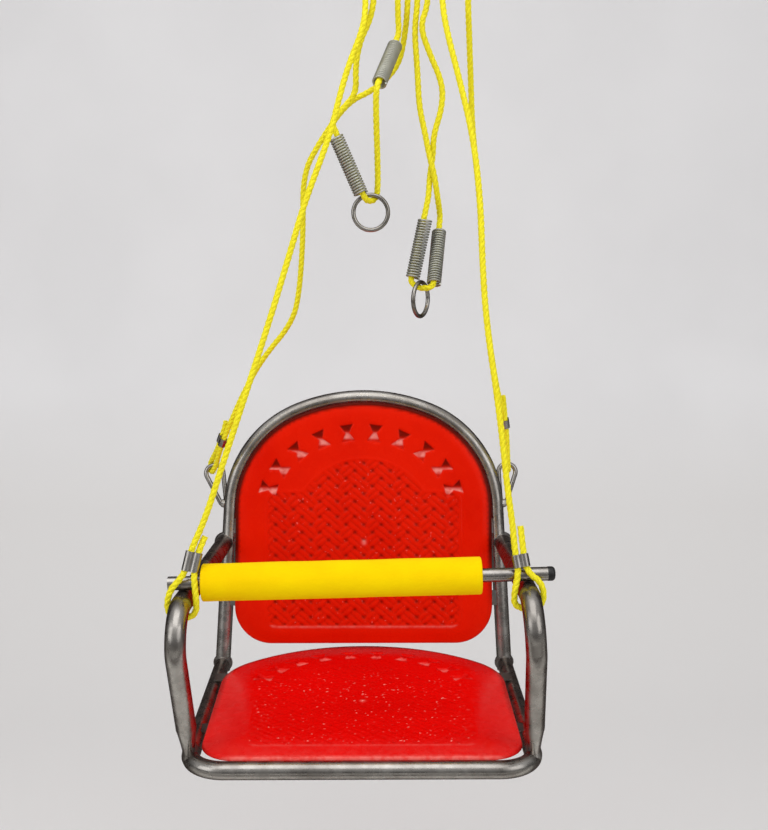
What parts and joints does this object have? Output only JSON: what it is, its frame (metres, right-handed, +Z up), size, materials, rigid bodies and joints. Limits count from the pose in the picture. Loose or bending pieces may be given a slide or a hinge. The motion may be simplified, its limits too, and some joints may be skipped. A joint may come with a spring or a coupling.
{
  "type": "child swing",
  "caption": "Child swing: moulded seat and back on a bent tube frame with armrests, a sliding bar in a foam sleeve, rope legs with springs and rings, to hang over a rail.",
  "frame": {"origin": "centre of the unseen rail that the ropes lie over, in the seat's middle plane", "axes": "+X to the right along the rail, +Y towards the back of the seat, +Z up"},
  "size_m": [0.3423, 0.3525, 0.716],
  "materials": {
    "frame_steel": "bright plated round tube and wire",
    "bar_steel": "bright plated thin round tube",
    "strip_steel": "dull flat strip",
    "screw_steel": "plain pan head",
    "weld_steel": "rough weld bead",
    "panel_plastic": "glossy, moulded in relief",
    "plug_plastic": "matte",
    "sleeve_foam": "closed-cell foam with a matte skin",
    "rope_fibre": "twisted plastic fibre rope",
    "ferrule_metal": "dull, crimped",
    "spring_steel": "bright drawn wire",
    "ring_steel": "bright round wire"
  },
  "bodies": {
    "root": {"bights_left": "rope_fibre", "bights_right": "rope_fibre"},
    "seat": {"seat_frame": "frame_steel", "back_hoop": "frame_steel", "armrest_left": "frame_steel", "armrest_right": "frame_steel", "rear_hook_left": "frame_steel", "rear_hook_right": "frame_steel", "seat_panel": "panel_plastic", "back_panel": "panel_plastic", "seat_cross_bars": "strip_steel", "back_cross_bars": "strip_steel", "panel_screws": "screw_steel", "weld_beads": "weld_steel", "ferrule_left_front": "ferrule_metal", "ferrule_right_front": "ferrule_metal", "ferrule_left_rear": "ferrule_metal", "ferrule_right_rear": "ferrule_metal", "rope_left_front": "rope_fibre", "rope_left_rear": "rope_fibre", "rope_right_front": "rope_fibre", "rope_right_rear": "rope_fibre", "rope_left_ring": "rope_fibre", "rope_right_ring": "rope_fibre", "spring_right_inner": "spring_steel", "spring_right_outer": "spring_steel"},
    "safety_bar": {"safety_bar": "bar_steel", "bar_end_plug": "plug_plastic"},
    "foam_sleeve": {"foam_sleeve": "sleeve_foam"},
    "spring_left_upper": {"spring_left_upper": "spring_steel"},
    "spring_left_lower": {"spring_left_lower": "spring_steel"},
    "ring_left": {"ring_left": "ring_steel"},
    "ring_right": {"ring_right": "ring_steel"}
  },
  "joints": [
    {"name": "swing", "type": "hinge", "parent": "root", "child": "seat", "pos_m": [0, 0, 0], "axis": [1, 0, 0], "range_deg": [-30, 30], "deforming": ["bights_left", "bights_right"]},
    {"name": "bar_slide", "type": "slide", "parent": "seat", "child": "safety_bar", "axis": [0.9997, 0, 0.0252], "range_m": [0, 0.02]},
    {"name": "foam_turn", "type": "hinge", "parent": "safety_bar", "child": "foam_sleeve", "pos_m": [-0.168, -0.131, -0.53079], "axis": [0.9997, 0, 0.0252], "continuous": true},
    {"name": "spring_left_upper_slide", "type": "slide", "parent": "seat", "child": "spring_left_upper", "axis": [0.2675, 0.6719, 0.6906], "range_m": [0, 0.006]},
    {"name": "spring_left_lower_slide", "type": "slide", "parent": "seat", "child": "spring_left_lower", "axis": [-0.4061, 0, 0.9138], "range_m": [0, 0.004]},
    {"name": "ring_left_swing", "type": "hinge", "parent": "seat", "child": "ring_left", "pos_m": [0.0075, -0.01525, -0.19545], "axis": [1, 0, 0], "range_deg": [-25, 12]},
    {"name": "ring_right_swing", "type": "hinge", "parent": "seat", "child": "ring_right", "pos_m": [0.0545, -0.006, -0.2757], "axis": [0.4695, 0.8829, 0], "range_deg": [-25, 25]}
  ]
}
